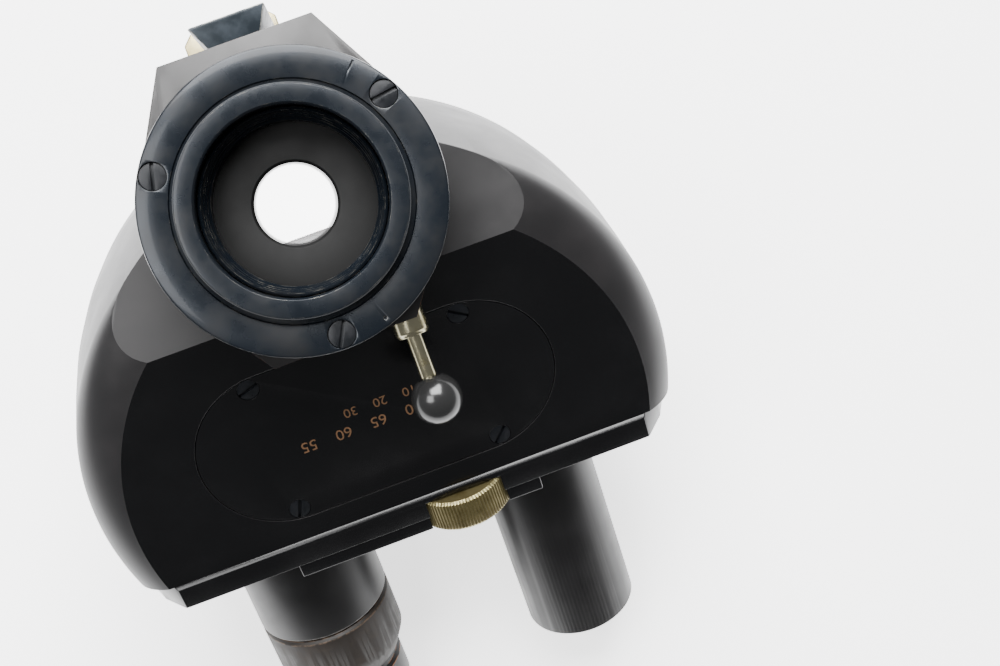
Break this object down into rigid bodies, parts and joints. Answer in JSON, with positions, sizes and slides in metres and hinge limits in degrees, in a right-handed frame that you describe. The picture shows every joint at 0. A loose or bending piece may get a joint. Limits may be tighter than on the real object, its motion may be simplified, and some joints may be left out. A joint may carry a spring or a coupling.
{
  "type": "binocular microscope head",
  "caption": "Inclined binocular viewing head with a photo tube, a round mounting flange, a ball-ended selector rod and sliding eyepiece tubes.",
  "frame": {"origin": "centre of the mounting ring's end face", "axes": "+Z out of the mounting ring, +Y towards the rear dovetail, +X along the straight edge of the housing"},
  "size_m": [0.1238, 0.1552, 0.1062],
  "materials": {
    "blued_flange": "satin",
    "black_lacquer": "satin",
    "shell_enamel": "satin",
    "gloss_enamel": "gloss",
    "plated_stop": "satin",
    "dovetail_black": "satin",
    "screw_steel": "blackened",
    "selector_nickel": "polished",
    "ball_resin": "gloss",
    "wheel_brass": "aged",
    "ring_brown": "matte",
    "optical_glass": "polished",
    "prism_glass": "polished",
    "inner_black": "matte",
    "slide_brass": "machined"
  },
  "bodies": {
    "head": {"base_plate": "gloss_enamel", "carriage_rails": "slide_brass", "clamp_collar": "black_lacquer", "cover_plate": "gloss_enamel", "cover_screws": "screw_steel", "dovetail_screws": "screw_steel", "dovetail_stop": "plated_stop", "exit_lens": "optical_glass", "flange_screws": "screw_steel", "housing_shell": "shell_enamel", "light_stop": "plated_stop", "mount_flange": "blued_flange", "photo_tube": "black_lacquer", "photo_tube_seat": "black_lacquer", "prism_block": "black_lacquer", "rear_cover": "shell_enamel", "rear_cover_screws": "screw_steel", "rear_dovetail": "dovetail_black", "rear_plate": "black_lacquer", "retaining_ring": "blued_flange", "selector_sleeve": "selector_nickel", "splitter_mount": "inner_black", "splitter_prism": "prism_glass", "wheel_guard_left": "gloss_enamel", "wheel_guard_right": "gloss_enamel"},
    "selector": {"selector_rod": "selector_nickel", "ball_knob": "ball_resin", "prism_carriage": "inner_black", "deflecting_prism": "prism_glass"},
    "clamp_screw": {"clamp_knob": "wheel_brass"},
    "wheel": {"adjusting_wheel": "wheel_brass", "wheel_shaft": "wheel_brass", "pinion": "wheel_brass"},
    "right_slide": {"right_slide_plate": "slide_brass", "right_rack": "slide_brass", "right_neck": "inner_black", "right_prism_seat": "inner_black", "right_prism": "prism_glass", "right_tube": "gloss_enamel"},
    "left_slide": {"left_slide_plate": "slide_brass", "left_rack": "slide_brass", "left_neck": "inner_black", "left_prism_seat": "inner_black", "left_prism": "prism_glass", "left_tube": "gloss_enamel", "left_collar": "gloss_enamel"},
    "dioptre": {"dioptre_ring": "ring_brown"},
    "ocular": {"ocular_body": "gloss_enamel", "eye_lens": "optical_glass", "field_lens": "optical_glass", "field_stop": "inner_black"}
  },
  "joints": [
    {"name": "selector_slide", "type": "slide", "parent": "head", "child": "selector", "axis": [0, -1, 0], "range_m": [0, 0.0178]},
    {"name": "clamp_turn", "type": "hinge", "parent": "head", "child": "clamp_screw", "pos_m": [0.0196, 0, -0.0845], "axis": [1, 0, 0], "range_deg": [-90, 90]},
    {"name": "left_eyepiece_slide", "type": "slide", "parent": "head", "child": "left_slide", "axis": [-1, 0, 0], "range_m": [0, 0.008]},
    {"name": "right_eyepiece_slide", "type": "slide", "parent": "head", "child": "right_slide", "axis": [1, 0, 0], "range_m": [0, 0.008]},
    {"name": "wheel_turn", "type": "hinge", "parent": "head", "child": "wheel", "pos_m": [0.0107, -0.06679, -0.05173], "axis": [0, 0.8829, 0.4695], "range_deg": [0, 242]},
    {"name": "ocular_focus", "type": "slide", "parent": "left_slide", "child": "ocular", "axis": [0, -0.8829, -0.4695], "range_m": [-0.0025, 0.0025]},
    {"name": "dioptre_turn", "type": "hinge", "parent": "left_slide", "child": "dioptre", "pos_m": [-0.028, -0.08575, -0.08423], "axis": [0, -0.8829, -0.4695], "range_deg": [-151, 151]}
  ],
  "couplings": [
    {"joint": "right_eyepiece_slide", "follows": "left_eyepiece_slide", "ratio": 1},
    {"joint": "wheel_turn", "follows": "left_eyepiece_slide", "rad_per_m": 526.32},
    {"joint": "dioptre_turn", "follows": "ocular_focus", "rad_per_m": 1047.2}
  ]
}
